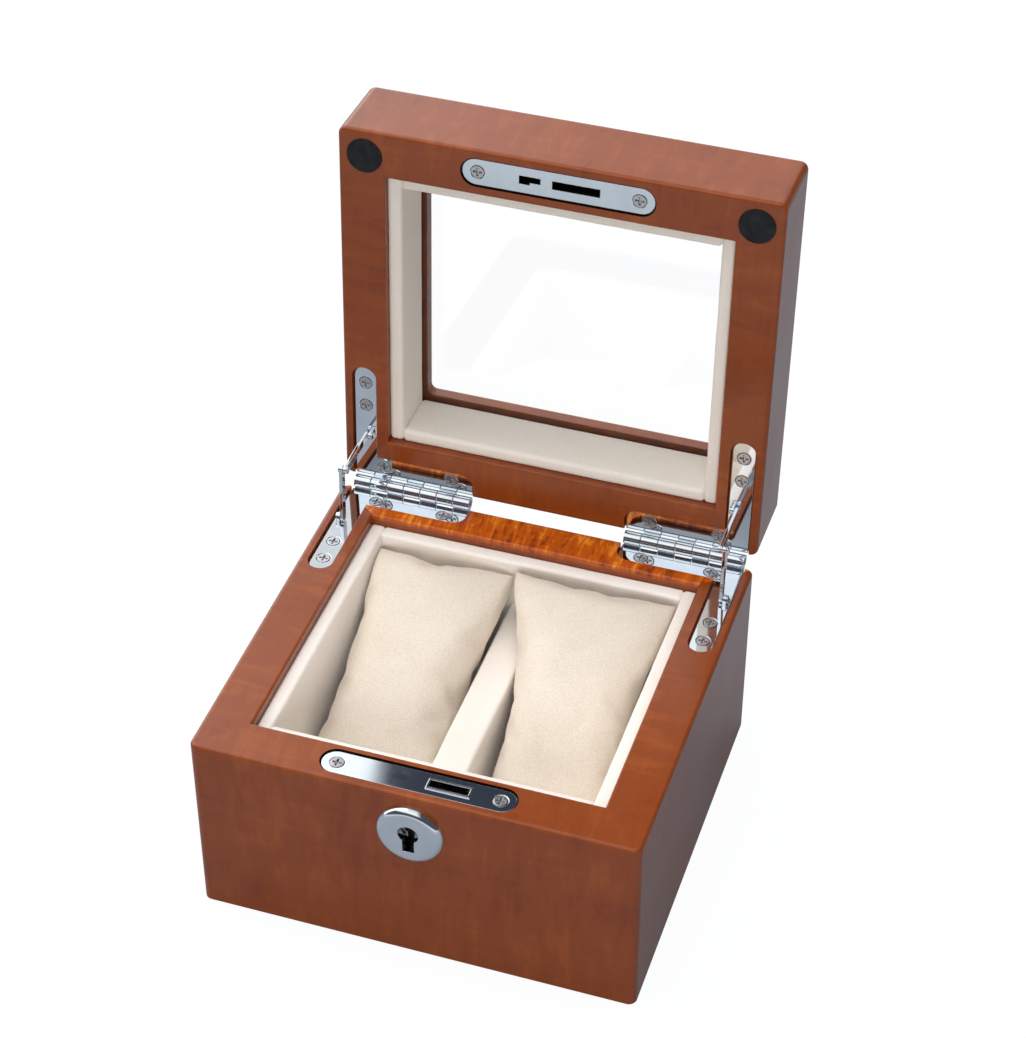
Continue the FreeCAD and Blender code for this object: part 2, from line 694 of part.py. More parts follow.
def rivet(side, first, last, heads, y):
    """A rivet through layers of the stay; heads lists the ends, 1 outside and -1 inside."""
    pieces = [rod("x", "rivet_radius", layer_stretch(side, first, last), y=y, z=hinge_z)]
    for end in heads:
        if end > 0:
            face = f"({layer_outside} - {first} * {layer_pitch})"
            stretch = span(side, face, f"({face} + rivet_head)")
        else:
            face = f"({layer_outside} - {last} * {layer_pitch} - link_thickness)"
            stretch = span(side, f"({face} - rivet_head)", face)
        pieces.append(rod("x", "rivet_head_radius", stretch, y=y, z=hinge_z))
    return fuse(*pieces)


for name, side in SIDES.items():
    node(f"stay_{name}_lower_link", turned_up(stay_link(side, 1), pivot_y, hinge_z))
    upper = node(f"stay_{name}_upper_link", stay_link(side, 2))
    place(upper, y="stay_reach - stay_reach * cos(lid_angle)", z="stay_reach * sin(lid_angle)")
    node(f"stay_{name}_knee_rivet", turned_up(rivet(side, 1, 2, (1, -1), knee_y), pivot_y, hinge_z))
node("stay_base_rivets", group(*[rivet(side, 0, 1, (1,), pivot_y) for side in SIDES.values()]))
lid_node("stay_lid_rivets", *[rivet(side, 2, 3, (-1,), pivot_y) for side in SIDES.values()])

# The lock: face plate, case, key barrel, hook, strike and escutcheon
slot_y = around(lock_y, "slot_width / 2")
bolt_slot = block(("bolt_slot_start", "bolt_slot_end"), slot_y,
                  (face_plate_low, f"{face_plate_high} + slot_lip_height"))
slot_lip = block(("bolt_slot_start - slot_lip_width", "bolt_slot_end + slot_lip_width"),
                 around(lock_y, "(slot_width / 2 + slot_lip_width)"),
                 (face_plate_low, f"{face_plate_high} + slot_lip_height"))
face_plate = fuse(stadium((face_plate_low, face_plate_high)), slot_lip)
node("lock_face_plate", cut(face_plate, bolt_slot, lock_holes))
node("lock_screws", copies(screw, lock_screw_spots(face_plate_high), -1))

case_inside = block(around("0", "(case_width / 2 - case_wall)"),
                    around(lock_y, "(case_depth / 2 - case_wall)"),
                    (f"{case_z[0]} + case_wall", case_z[1]))
hook_y = around(lock_y, "hook_thickness / 2")
barrel_front = f"(barrel_setback - {half_depth})"
front_bearing = rod("y", "key_barrel_radius + running_fit", (case_y[0], lock_y), x="0", z=key_z)
back_bearing = rod("y", "journal_radius + running_fit", (lock_y, case_y[1]), x="0", z=key_z)
node("lock_case", cut(block(case_x, case_y, case_z), case_inside, front_bearing, back_bearing))

key_barrel = fuse(
    rod("y", "key_barrel_radius", (barrel_front, hook_y[1]), x="0", z=key_z),
    rod("y", "journal_radius", (lock_y, case_y[1]), x="0", z=key_z),
)
keyway_y = (barrel_front, f"{barrel_front} + keyway_depth")
keyway = fuse(
    rod("y", "key_bore_radius", keyway_y, x="0", z=key_z),
    block(around("0", "keyway_width / 2"), keyway_y, (f"{key_z} - key_barrel_radius", key_z)),
)
node("lock_barrel", cut(key_barrel, keyway))


def sector(radius, sweep):
    """Part of a disc about the origin, from the hook's tail on."""
    item = doc.addObject("Part::Cylinder", "sector")
    item.Placement.Rotation = FreeCAD.Rotation(Z_AXIS, 1)
    return bind(item, {
        "Radius": radius,
        "Height": "hook_thickness",
        "Angle": sweep,
        "Placement.Rotation.Angle": "hook_tail_angle",
    })


hook_stretch = ("0", "hook_thickness")
hook_sweep = "hook_tip_angle - hook_tail_angle"
hook_curve = cut(sector("hook_outer", hook_sweep), rod("z", "hook_inner", hook_stretch))
hook_middle = "(hook_inner / 2 + hook_outer / 2)"
hook = fuse(hook_curve, sector(hook_middle, "hook_spoke_angle"), rod("z", "hook_hub_radius", hook_stretch))
hook = cut(hook, rod("z", "key_barrel_radius + running_fit", hook_stretch))
hook.Placement.Rotation = FreeCAD.Rotation(X_AXIS, 90)
node("lock_hook", place(hook, y=hook_y[1], z=key_z))

small_slot_y = (slot_y[0], f"{slot_y[1]} - small_slot_notch")
small_slot_middle = "(small_slot_start + small_slot_end) / 2"
strike_stretch = (strike_low, strike_high)
strike = cut(
    stadium(strike_stretch),
    block(("catch_slot_start", "catch_slot_end"), slot_y, strike_stretch),
    block(("small_slot_start", "small_slot_end"), small_slot_y, strike_stretch),
    block(("small_slot_start", small_slot_middle), slot_y, strike_stretch),
    strike_holes,
)
lid_node("strike_plate", strike)
lid_node("strike_screws", copies(screw, lock_screw_spots(strike_low), 1))

escutcheon_y = (f"-{half_depth} - escutcheon_thickness", f"-{half_depth}")
disc = rod("y", "escutcheon_radius", escutcheon_y, x="0", z=f"{key_z} - escutcheon_drop")
disc = rounded(disc, "escutcheon_edge", at_front)
node("escutcheon", cut(disc, keyhole(escutcheon_y, "keyhole_radius")))

# Check every object, then write one file for each node
doc.recompute()
for item in doc.Objects:
    if "Invalid" in item.State or "Error" in item.State:
        raise RuntimeError(f"{item.Label} is {item.State}")
os.makedirs("parts", exist_ok=True)
for item in nodes:
    if item.Shape.isNull() or not item.Shape.isValid():
        raise RuntimeError(f"{item.Label} has no valid shape")
    item.Shape.exportStep(f"parts/{item.Label}.step")
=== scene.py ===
import json
import math

import bmesh
import bpy
from mathutils import Matrix, Vector, noise


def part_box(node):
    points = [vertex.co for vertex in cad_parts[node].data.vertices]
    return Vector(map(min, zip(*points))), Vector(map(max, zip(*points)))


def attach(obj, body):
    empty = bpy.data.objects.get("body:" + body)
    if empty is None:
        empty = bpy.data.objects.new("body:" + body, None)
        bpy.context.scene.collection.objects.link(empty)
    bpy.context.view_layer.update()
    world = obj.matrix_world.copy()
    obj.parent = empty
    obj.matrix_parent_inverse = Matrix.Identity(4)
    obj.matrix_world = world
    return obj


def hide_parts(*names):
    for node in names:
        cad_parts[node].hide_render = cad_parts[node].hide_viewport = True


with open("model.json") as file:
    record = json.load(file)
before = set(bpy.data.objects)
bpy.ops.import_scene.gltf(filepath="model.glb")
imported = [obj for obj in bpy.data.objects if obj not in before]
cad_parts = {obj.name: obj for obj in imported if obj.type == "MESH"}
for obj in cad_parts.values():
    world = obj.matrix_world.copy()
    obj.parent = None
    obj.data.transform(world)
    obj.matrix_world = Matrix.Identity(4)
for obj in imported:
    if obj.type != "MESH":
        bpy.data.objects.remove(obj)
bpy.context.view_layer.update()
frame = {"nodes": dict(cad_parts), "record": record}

nodes = frame["nodes"]
record = frame["record"]
behaviour = record["behaviour"]
slot_of = {part["node"]: part["material_slot"] for part in record["subparts"]}
body_of = {node: body for body, members in behaviour["bodies"].items() for node in members}
lid_hinge = next(joint for joint in behaviour["joints"] if joint["name"] == "lid_hinge")
LID_TILT = math.radians(-lid_hinge["range_deg"][0])   # about x, from the open lid to the closed one


# Camera: the photograph's view, worked out from the box's corners

AZIMUTH = math.radians(18.2)
ELEVATION = math.radians(39.98)
EYE_RIGHT = 0.011218          # the eye's place along the view's own axes
EYE_UP = 0.106378
EYE_BACK = 1.00913
FOCAL_PIXELS = 2729.4
IMAGE_HEIGHT = 1038           # pixels of the photograph's longer side
SENSOR = 36.0

back = Vector((
    math.sin(AZIMUTH) * math.cos(ELEVATION),
    -math.cos(AZIMUTH) * math.cos(ELEVATION),
    math.sin(ELEVATION),
))
right = Vector((math.cos(AZIMUTH), math.sin(AZIMUTH), 0))
up = back.cross(right)
eye = EYE_RIGHT * right + EYE_UP * up + EYE_BACK * back

camera = bpy.data.objects.new("camera", bpy.data.cameras.new("camera"))
camera.data.sensor_width = SENSOR
camera.data.lens = SENSOR * FOCAL_PIXELS / IMAGE_HEIGHT
camera.data.clip_start = 0.05
camera.data.clip_end = 20
camera.matrix_world = Matrix.Translation(eye) @ Matrix((right, up, back)).transposed().to_4x4()
bpy.context.collection.objects.link(camera)
bpy.context.scene.camera = camera


# Shader helpers

def feed(tree, node, inputs):
    """Set a node's inputs, by name or number, to plain values or to other nodes' outputs."""
    for key, value in inputs.items():
        socket = node.inputs[key]
        if isinstance(value, bpy.types.NodeSocket):
            tree.links.new(value, socket)
        elif socket.type == "RGBA":
            socket.default_value = (*value, 1)
        else:
            socket.default_value = value


def add(tree, kind, inputs=None, **settings):
    """A new shader node with its settings and inputs."""
    node = tree.nodes.new("ShaderNode" + kind)
    for key, value in settings.items():
        setattr(node, key, value)
    feed(tree, node, inputs or {})
    return node


def math_node(tree, operation, first, second):
    return add(tree, "Math", {0: first, 1: second}, operation=operation).outputs[0]


def weighted(tree, layers, shares):
    """The sum of some layers, each times its share."""
    total = 0.0
    for layer, share in zip(layers, shares):
        total = math_node(tree, "ADD", math_node(tree, "MULTIPLY", layer, share), total)
    return total


def ramp(tree, factor, stops, ease="LINEAR"):
    """A colour ramp over (place, colour) stops."""
    node = add(tree, "ValToRGB", {"Fac": factor})
    node.color_ramp.interpolation = ease
    elements = node.color_ramp.elements
    while len(elements) < len(stops):
        elements.new(0.5)
    for element, (place, colour) in zip(elements, stops):
        element.position = place
        element.color = (*colour, 1)
    return node.outputs["Color"]


def grey_ramp(tree, factor, stops):
    """A ramp over (place, level) stops."""
    return ramp(tree, factor, [(place, (level,) * 3) for place, level in stops])


def mix(tree, factor, first, second, blend="MIX"):
    """Two colours mixed; a mix node has its colours in inputs 6 and 7 and output 2."""
    inputs = {"Factor": factor, 6: first, 7: second}
    return add(tree, "Mix", inputs, data_type="RGBA", blend_type=blend).outputs[2]


def surface(name):
    """A new material with its tree and principled shader."""
    material = bpy.data.materials.new(name)
    material.use_nodes = True
    tree = material.node_tree
    return material, tree, tree.nodes["Principled BSDF"]


def object_place(tree, scale=(1, 1, 1), rotation=(0, 0, 0), location=(0, 0, 0)):
    """Object coordinates in metres, stretched, turned and moved."""
    source = add(tree, "TexCoord").outputs["Object"]
    inputs = {"Vector": source, "Scale": scale, "Rotation": rotation, "Location": location}
    return add(tree, "Mapping", inputs).outputs[0]


def noise_of(tree, vector, scale, detail=2, roughness=0.5, distortion=0.0):
    inputs = {"Vector": vector, "Scale": scale, "Detail": detail, "Roughness": roughness}
    return add(tree, "TexNoise", {**inputs, "Distortion": distortion}).outputs["Fac"]


def bumps(tree, height, distance, strength):
    """A shader normal for a relief that is this distance high."""
    return add(tree, "Bump", {"Height": height, "Distance": distance, "Strength": strength}).outputs[0]


def linear(code):
    """A hex colour as linear values."""
    levels = [int(code[i:i + 2], 16) / 255 for i in (0, 2, 4)]
    return tuple(c / 12.92 if c <= 0.04045 else ((c + 0.055) / 1.055) ** 2.4 for c in levels)


# Wood

GRAIN_OF = {
    "front_wall": "x", "back_wall": "x", "left_wall": "y", "right_wall": "y",
    "lid_front_rail": "x", "lid_back_rail": "x", "lid_left_rail": "z", "lid_right_rail": "z",
}
GRAIN_STRETCH = {"x": (0.05, 1, 1), "y": (1, 0.05, 1), "z": (1, 1, 0.05)}
CURL_STRETCH = 0.22           # draws the curl out across the grain
CLOUD_SCALE = 30              # noise scales are per metre
STREAK_SCALE = 520
BAND_SCALE = 90
CURL_SCALE = {"plain": 210, "figured": 420}
PORE_SCALE = 1500
PORE_SHARE = 0.4
WOOD_SHARES = {               # of cloud, streaks, bands and curl in the tone
    "plain": (0.36, 0.14, 0.12, 0.38),
    "figured": (0.20, 0.10, 0.15, 0.55),
}
WOOD_TONES = {
    "plain": ((0.36, linear("793511")), (0.50, linear("863E15")), (0.64, linear("93481C"))),
    "figured": ((0.37, linear("84340A")), (0.50, linear("C4590E")), (0.63, linear("F0922C"))),
}
# painted shade: the dark colour given to the wood behind the keyhole and in the lock plates' recesses
PAINTED_SHADE_WOOD = linear("1C100A")
WOOD_STEP = (0.37, 0.21, 0.53)    # from one piece's place in the wood to the next one's
RIM_DEPTH = 0.0022            # how far down from the top the rim's livelier figure reaches


def wood_colour(tree, grain, figure, offset):
    """Cloudy stain with faint streaks and bands along the grain and curl across it, and the cloud alone."""
    stretch = GRAIN_STRETCH[grain]
    along = object_place(tree, stretch, location=offset)
    across = object_place(tree, [1 if s < 1 else CURL_STRETCH for s in stretch], location=offset)
    cloud = noise_of(tree, object_place(tree, location=offset), CLOUD_SCALE, detail=3)
    streaks = noise_of(tree, along, STREAK_SCALE, detail=5, roughness=0.6, distortion=0.2)
    bands = noise_of(tree, along, BAND_SCALE, detail=3, distortion=0.4)
    curl = noise_of(tree, across, CURL_SCALE[figure], detail=3, roughness=0.6, distortion=0.6)
    tone = weighted(tree, (cloud, streaks, bands, curl), WOOD_SHARES[figure])
    colour = ramp(tree, tone, WOOD_TONES[figure], "EASE")
    pores = grey_ramp(tree, noise_of(tree, along, PORE_SCALE, detail=1), ((0.30, 0.82), (0.42, 1.0)))
    return mix(tree, PORE_SHARE, colour, pores, "MULTIPLY"), cloud


def inside(tree, low, high, tilt):
    """1 inside a box and 0 outside it, in a frame that is turned by a tilt about x."""
    scale = [2 / size for size in high - low]
    shift = [-middle * share for middle, share in zip((low + high) / 2, scale)]
    turned = object_place(tree, rotation=(tilt, 0, 0))
    place = add(tree, "Mapping", {"Vector": turned, "Scale": scale, "Location": shift}).outputs[0]
    offset = add(tree, "VectorMath", {0: place}, operation="ABSOLUTE").outputs[0]
    x, y, z = add(tree, "SeparateXYZ", {"Vector": offset}).outputs
    reach = math_node(tree, "MAXIMUM", math_node(tree, "MAXIMUM", x, y), z)
    return math_node(tree, "LESS_THAN", reach, 1.0)


def lacquered_wood(name, grain, offset, shade_boxes, rim):
    """Stained wood under satin lacquer, with painted shade inside the given boxes and a livelier figure on
    a rim.
    """
    material, tree, shader = surface(name)
    colour, cloud = wood_colour(tree, grain, "plain", offset)
    if rim:
        figured = wood_colour(tree, grain, "figured", offset)[0]
        height = add(tree, "SeparateXYZ", {"Vector": object_place(tree)}).outputs["Z"]
        above = add(tree, "MapRange", {"Value": height, "From Min": rim - RIM_DEPTH, "From Max": rim})
        colour = mix(tree, above.outputs[0], colour, figured)
    # painted shade: the wood is darkened inside each box, behind the keyhole and in the lock plates'
    # recesses
    for shade_box in shade_boxes:
        colour = mix(tree, inside(tree, *shade_box), colour, PAINTED_SHADE_WOOD)
    feed(tree, shader, {
        "Base Color": colour,
        "Roughness": grey_ramp(tree, cloud, ((0.3, 0.17), (0.7, 0.23))),
    })
    return material


# Other materials

NAP = 0.0005                  # size of the suede's speckles
SPECKLE_SCALE = 1 / NAP
FIBRE_SCALE = 2.2 / NAP
FIBRE_STRETCH = (1, 0.4, 1)
PATCH_SCALE = 45
POLISH_SCALE = 90
DULL_SHARE = 0.9              # of a metal's colour, where its polish is duller
SOFT_EDGE = 0.00035           # radius that a metal edge seems to have


def suede(name, light, dark, sheen):
    """Brushed suede: fine speckled nap over slow, faint patches where it lies the other way."""
    material, tree, shader = surface(name)
    place = object_place(tree)
    speckle = noise_of(tree, place, SPECKLE_SCALE, detail=3, roughness=0.7)
    patches = noise_of(tree, place, PATCH_SCALE, detail=3, roughness=0.6, distortion=0.6)
    fibres = noise_of(tree, object_place(tree, FIBRE_STRETCH), FIBRE_SCALE, roughness=0.6)
    tone = weighted(tree, (speckle, patches), (0.75, 0.25))
    relief = weighted(tree, (speckle, fibres), (1.0, 0.6))
    feed(tree, shader, {
        "Base Color": ramp(tree, tone, ((0.34, dark), (0.62, light))),
        "Roughness": grey_ramp(tree, patches, ((0.3, 0.86), (0.7, 0.98))),
        "Specular IOR Level": 0.1,
        "Sheen Weight": sheen,
        "Sheen Roughness": 0.5,
        "Sheen Tint": light,
        "Normal": bumps(tree, relief, distance=0.00008, strength=0.7),
    })
    return material


def polished(name, colour, roughness):
    """Plated metal: slight unevenness in the polish, and edges that look rounded."""
    material, tree, shader = surface(name)
    least, most = roughness
    cloud = noise_of(tree, object_place(tree), POLISH_SCALE, detail=4, roughness=0.6)
    dull = [DULL_SHARE * level for level in colour]
    feed(tree, shader, {
        "Base Color": ramp(tree, cloud, ((0.3, dull), (0.7, colour))),
        "Roughness": grey_ramp(tree, cloud, ((0.35, least), (0.7, most))),
        "Metallic": 1.0,
        "Normal": add(tree, "Bevel", {"Radius": SOFT_EDGE}, samples=6).outputs[0],
    })
    return material


def rubber():
    material, tree, shader = surface("bumper_rubber")
    place = object_place(tree)
    grain = noise_of(tree, place, scale=2400, roughness=0.6)
    cloud = noise_of(tree, place, scale=300, detail=3, roughness=0.6)
    feed(tree, shader, {
        "Base Color": ramp(tree, cloud, ((0.3, linear("0E0F11")), (0.7, linear("222427")))),
        "Roughness": grey_ramp(tree, grain, ((0.3, 0.7), (0.7, 0.92))),
        "Normal": bumps(tree, grain, distance=0.00012, strength=0.8),
    })
    return material


def felt():
    material, tree, shader = surface("base_felt")
    place = object_place(tree)
    fibres = noise_of(tree, place, scale=1800, detail=4, roughness=0.75, distortion=1.5)
    feed(tree, shader, {
        "Base Color": ramp(tree, fibres, ((0.3, linear("101113")), (0.7, linear("2B2C30")))),
        "Roughness": 0.95,
        "Normal": bumps(tree, fibres, distance=0.0002, strength=0.8),
    })
    return material


def plywood():
    material, tree, shader = surface("panel_wood")
    place = object_place(tree, GRAIN_STRETCH["x"])
    streaks = noise_of(tree, place, scale=260, detail=5, roughness=0.6, distortion=0.4)
    feed(tree, shader, {
        "Base Color": ramp(tree, streaks, ((0.35, linear("8A6038")), (0.65, linear("B88A58")))),
        "Roughness": 0.7,
        "Normal": bumps(tree, streaks, distance=0.00008, strength=0.6),
    })
    return material


def clear_glass():
    material, tree, shader = surface("window_glass")
    place = object_place(tree)
    smears = noise_of(tree, place, scale=35, detail=4, roughness=0.6, distortion=0.5)
    feed(tree, shader, {
        "Base Color": (1, 1, 1),
        "Roughness": grey_ramp(tree, smears, ((0.45, 0.0), (0.8, 0.03))),
        "Transmission Weight": 1.0,
        "IOR": 1.45,
        "Specular IOR Level": 0.12,
    })
    return material


screw_metal = polished("screw_metal", (0.62, 0.62, 0.63), roughness=(0.16, 0.28))
by_slot = {
    "chrome": polished("chrome", (0.83, 0.89, 0.95), roughness=(0.02, 0.05)),
    "lock_steel": polished("lock_steel", (0.42, 0.41, 0.4), roughness=(0.25, 0.45)),
    "lining_suede": suede("lining_suede", linear("F7F1EA"), linear("EFE6DB"), sheen=0.9),
    "lid_suede": suede("lid_suede", linear("F0E8DE"), linear("E4DACD"), sheen=0.8),
    "pillow_suede": suede("pillow_suede", linear("EADFD2"), linear("D3C5B2"), sheen=0.7),
    "felt": felt(),
    "glass": clear_glass(),
    "bumper_rubber": rubber(),
    "panel_wood": plywood(),
}


# Painting the nodes, with painted shade on the wood in the lock's recesses and behind the keyhole

RECESS_PLAY = 0.0009          # reach past a plate's edge that takes in its recess
RECESS_DEPTH = 0.012          # takes in the pocket under the plate
SKIN = 0.0001                 # keeps a wall's face out of the painted shade below it
KEYHOLE_SHARE = 0.69          # of the key plate's width


def paint(piece, material):
    piece.data.materials.clear()
    piece.data.materials.append(material)


def turned_box(node, tilt):
    """A node's lowest and highest corner once it is turned by a tilt about x."""
    turn = Matrix.Rotation(tilt, 4, "X")
    points = [turn @ vertex.co for vertex in nodes[node].data.vertices]
    low = Vector([min(point[axis] for point in points) for axis in range(3)])
    high = Vector([max(point[axis] for point in points) for axis in range(3)])
    return low, high


def recess(plate, wall, tilt):
    """The box round the recess of a plate in a wall's top, or in its underside, and its tilt; the wood in
    it gets painted shade.
    """
    low, high = turned_box(plate, tilt)
    wall_low, wall_high = turned_box(wall, tilt)
    play = Vector((RECESS_PLAY, RECESS_PLAY, 0))
    low, high = low - play, high + play
    if low.z + high.z > wall_low.z + wall_high.z:
        low.z, high.z = wall_high.z - RECESS_DEPTH, wall_high.z - SKIN
    else:
        low.z, high.z = wall_low.z + SKIN, wall_low.z + RECESS_DEPTH
    return low, high, tilt


def keyhole():
    """The box in the front wall behind the key plate's hole, where the wood gets painted shade, and its
    tilt.
    """
    low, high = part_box("escutcheon")
    middle = (low + high) / 2
    reach = KEYHOLE_SHARE * (high.x - low.x) / 2
    half = Vector((reach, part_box("front_wall")[1].y - low.y, reach))
    return middle - half, middle + half, 0.0


# boxes of painted shade on the wood: the passage behind the keyhole and the recesses of the lock's plates
painted_shade_boxes = {
    "front_wall": (keyhole(), recess("lock_face_plate", "front_wall", 0.0)),
    "lid_front_rail": (recess("strike_plate", "lid_front_rail", LID_TILT),),
}
figured_rims = {"back_wall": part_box("back_wall")[1].z - 2 * SKIN}
for name, piece in nodes.items():
    if name in GRAIN_OF:
        number = sorted(GRAIN_OF).index(name)
        offset = [step * number for step in WOOD_STEP]
        shade_boxes = painted_shade_boxes.get(name, ())
        paint(piece, lacquered_wood(f"wood_{name}", GRAIN_OF[name], offset, shade_boxes, figured_rims.get(name)))
    else:
        paint(piece, screw_metal if name.endswith("_screws") else by_slot[slot_of[name]])


# Lining: the boards as fabric-covered pads with soft edges

PAD_RADIUS = {"lining_suede": 0.0012, "lid_suede": 0.0015}
PAD_SPACING = 0.0025
EDGE_STEPS = 4                # mesh rows round a pad's edge
PAD_LIFT = 0.00012            # mean height of the cloth over its board
PAD_UNEVEN = 0.00010
WAVE_SCALE = 70               # per metre of cloth
RIPPLE_SCALE = 190
RIPPLE_SHARE = 0.5            # of a wave's height


def new_piece(name, mesh, node):
    """A smooth piece with the body and the material of a node."""
    piece = bpy.data.objects.new(name, mesh)
    bpy.context.collection.objects.link(piece)
    body = body_of[node]
    slot = slot_of[node]
    paint(piece, by_slot[slot])
    for polygon in mesh.polygons:
        polygon.use_smooth = True
    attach(piece, body)
    return piece


def mesh_rows(half, radius):
    """Places of the mesh rows across a board: close together in its rounded edges, even between them."""
    inner = half - radius
    count = max(2, round(2 * inner / PAD_SPACING))
    angles = [math.pi / 4 * step / EDGE_STEPS for step in range(1, EDGE_STEPS + 1)]
    edge = [inner + radius * math.tan(angle) for angle in angles]
    return [-place for place in edge[::-1]] + [inner * (2 * n / count - 1) for n in range(count + 1)] + edge


def rounded_board(name, low, high, radius):
    """The mesh of a board between two corners with all its edges rounded."""
    centre = (low + high) / 2
    half = (high - low) / 2
    rows = [mesh_rows(half[axis], radius) for axis in range(3)]
    last = [len(places) - 1 for places in rows]
    flat = [half[axis] - radius for axis in range(3)]
    shape = bmesh.new()
    points = {}

    def point(key):
        if key not in points:
            place = Vector([rows[axis][key[axis]] for axis in range(3)])
            core = Vector([min(max(place[axis], -flat[axis]), flat[axis]) for axis in range(3)])
            points[key] = shape.verts.new(centre + core + radius * (place - core).normalized())
        return points[key]

    for axis in range(3):
        first, second = (axis + 1) % 3, (axis + 2) % 3
        for end in (0, last[axis]):
            for i in range(last[first]):
                for j in range(last[second]):
                    corners = []
                    for step in ((0, 0), (1, 0), (1, 1), (0, 1)):
                        key = [0, 0, 0]
                        key[axis], key[first], key[second] = end, i + step[0], j + step[1]
                        corners.append(point(tuple(key)))
                    shape.faces.new(corners if end else corners[::-1])
    mesh = bpy.data.meshes.new(name)
    shape.to_mesh(mesh)
    shape.free()
    return mesh


def pad(node, radius):
    """A fabric-covered pad in place of a lining board, with soft edges and slightly uneven cloth."""
    tilt = LID_TILT if body_of[node] == "lid" else 0.0
    mesh = rounded_board(node + "_pad", *turned_box(node, tilt), radius)
    mesh.transform(Matrix.Rotation(-tilt, 4, "X"))
    for vertex in mesh.vertices:
        waves = noise.noise(vertex.co * WAVE_SCALE)
        ripples = noise.noise(vertex.co * RIPPLE_SCALE)
        vertex.co += vertex.normal * ((waves + RIPPLE_SHARE * ripples) * PAD_UNEVEN + PAD_LIFT)
    piece = new_piece(node + "_pad", mesh, node)
    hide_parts(node)


for node, slot in slot_of.items():
    if slot in PAD_RADIUS:
        pad(node, PAD_RADIUS[slot])


# Pillows: two sheets sewn together, filled by the cloth solver and laid in their places

SIM_SCALE = 10                # the cloth solver works better on larger things
FILL_FRAMES = 16
COLUMNS, ROWS = 36, 70
SHEET_LENGTH = 0.118
SHEET_RISE = 0.008            # half height of the sewn sheets before they are filled
SHEET_UNEVEN = 0.0003
WAVES_ACROSS, WAVES_ALONG = 4, 6
SHEET_EAR = 0.016             # share by which the corners stand out
SHEET_BOW = 0.030             # share by which the ends bow out
PILLOW_THICKNESS = 0.031
FOLD_LENGTH = 0.014
FOLD_DEPTH = 0.0026
FOLD_WIDTH = 0.0022
EAR_RISE = 0.005              # height over the divider at which an ear has its full reach
EASE = 0.003                  # depth in which a pillow flattens against a wall
REST_GAP = 0.0004             # to the floor board and to the front and back liners
DIVIDER_GAP = 0.0003
SIDE_GAP = 0.0006
FLOOR_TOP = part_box("floor_pad")[1].z
DIVIDER_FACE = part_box("divider")[1].x
DIVIDER_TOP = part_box("divider")[1].z
LINER_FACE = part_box("liner_right")[0].x
FRONT_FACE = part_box("liner_front")[1].y
BACK_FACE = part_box("liner_back")[0].y

# Widths and middles are those of the front end and the back end. An ear is the place in x that a corner
# reaches to over the divider, a fold the place in x and y where it starts, and a tilt is in degrees.
PILLOWS = {
    "left": {
        "seed": 3.0,
        "widths": (0.062, 0.062),
        "middles": (-0.0315, -0.0311),
        "tilt": 23.0,
        "ear": -0.0049,
        "fold": (-0.0065, 0.002),
    },
    "right": {
        "seed": 11.0,
        "widths": (0.060, 0.070),
        "middles": (0.0365, 0.0270),
        "tilt": 25.5,
        "ear": -0.0037,
        "fold": (0.0578, -0.012),
    },
}


def on_rim(row, column):
    return row in (0, ROWS) or column in (0, COLUMNS)


def sheet_point(layer, row, column, seed, widths):
    """A point of the upper sheet (layer 1) or the lower one (layer -1), slightly filled.

    The sheets widen behind their middle, stand out at the very corners, bow out at both ends and are
    fullest away from the seam. u runs across a sheet and v along it, from -1 to 1.
    """
    front_width, back_width = widths
    u = 2 * column / COLUMNS - 1
    v = 2 * row / ROWS - 1
    width = front_width + (back_width - front_width) * max(v, 0) ** 1.5
    corner = 1 + SHEET_EAR * (abs(u) * abs(v)) ** 8
    bow = 1 + SHEET_BOW * (1 - u * u) * v * v
    full = ((1 - abs(u) ** 3) * (1 - abs(v) ** 4)) ** 0.5
    uneven = SHEET_UNEVEN * noise.noise(Vector((u * WAVES_ACROSS + seed, v * WAVES_ALONG, layer)))
    place = Vector((u * width / 2, v * SHEET_LENGTH / 2 * bow, 0)) * corner
    place.z = (layer * SHEET_RISE + uneven) * full
    return place * SIM_SCALE


def sewn_sheets(name, seed, widths):
    """Two sheets that share their rim, and the numbers of the rim's points."""
    shape = bmesh.new()
    grid = {}
    for layer in (1, -1):
        for row in range(ROWS + 1):
            for column in range(COLUMNS + 1):
                if layer == -1 and on_rim(row, column):
                    grid[layer, row, column] = grid[1, row, column]
                else:
                    place = sheet_point(layer, row, column, seed, widths)
                    grid[layer, row, column] = shape.verts.new(place)
    for layer in (1, -1):
        for row in range(ROWS):
            for column in range(COLUMNS):
                steps = ((0, 0), (0, 1), (1, 1), (1, 0))
                corners = [grid[layer, row + a, column + b] for a, b in steps]
                shape.faces.new(corners if layer == 1 else corners[::-1])
    shape.verts.index_update()
    seam = [
        point.index for (layer, row, column), point in grid.items()
        if layer == 1 and on_rim(row, column)
    ]
    mesh = bpy.data.meshes.new(name)
    shape.to_mesh(mesh)
    shape.free()
    return mesh, seam


def apply_modifiers(piece):
    """Bake a piece's modifiers into its mesh."""
    graph = bpy.context.evaluated_depsgraph_get()
    baked = bpy.data.meshes.new_from_object(piece.evaluated_get(graph))
    piece.modifiers.clear()
    old = piece.data
    piece.data = baked
    bpy.data.meshes.remove(old)


